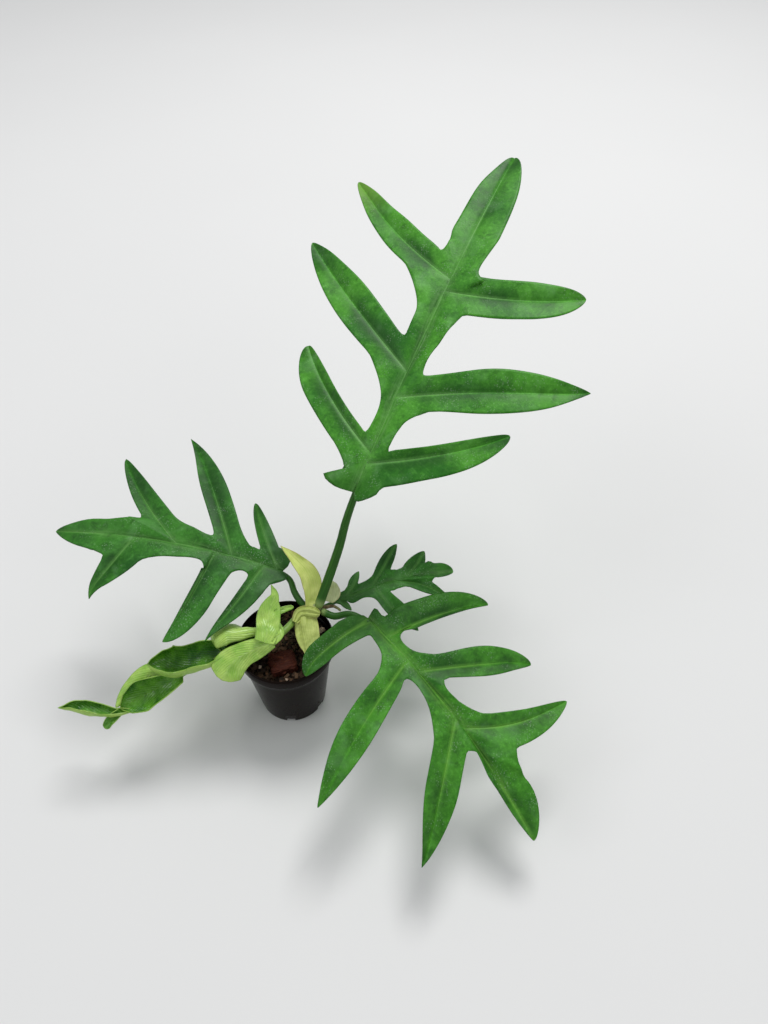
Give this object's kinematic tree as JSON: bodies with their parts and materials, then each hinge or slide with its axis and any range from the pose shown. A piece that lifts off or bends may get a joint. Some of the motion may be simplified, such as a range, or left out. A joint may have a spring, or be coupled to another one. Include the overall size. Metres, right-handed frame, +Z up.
{
  "type": "potted philodendron plant",
  "caption": "Young leafy aroid with long deeply cut arching leaves on slim stalks, standing in a round black nursery pot of bark mix.",
  "frame": {"origin": "middle of the pot's flat underside", "axes": "+Z up the pot's axis; -Y towards the viewer of the picture; +X to the viewer's right"},
  "size_m": [0.4251, 0.4893, 0.3348],
  "materials": {
    "pot": "gloss",
    "mix": "matte",
    "bark": "matte",
    "stem": "satin",
    "leaf_mid_green": "satin",
    "leaf_lower_green": "satin",
    "leaf_dark_green": "satin",
    "leaf_deep_green": "satin",
    "leaf_new_green": "satin",
    "sheath": "satin",
    "sheath_back": "satin",
    "root": "matte"
  },
  "bodies": {
    "root": {"pot": "pot", "potting_mix": "mix", "bark_chunk": "bark", "stem": "stem", "leaf_upper": "leaf_mid_green", "leaf_lower": "leaf_lower_green", "leaf_left": "leaf_dark_green", "leaf_small": "leaf_deep_green", "leaf_new": "leaf_new_green", "sheath_upper": "sheath", "sheath_lower": "sheath", "sheath_back": "sheath_back", "aerial_root": "root"}
  },
  "joints": []
}
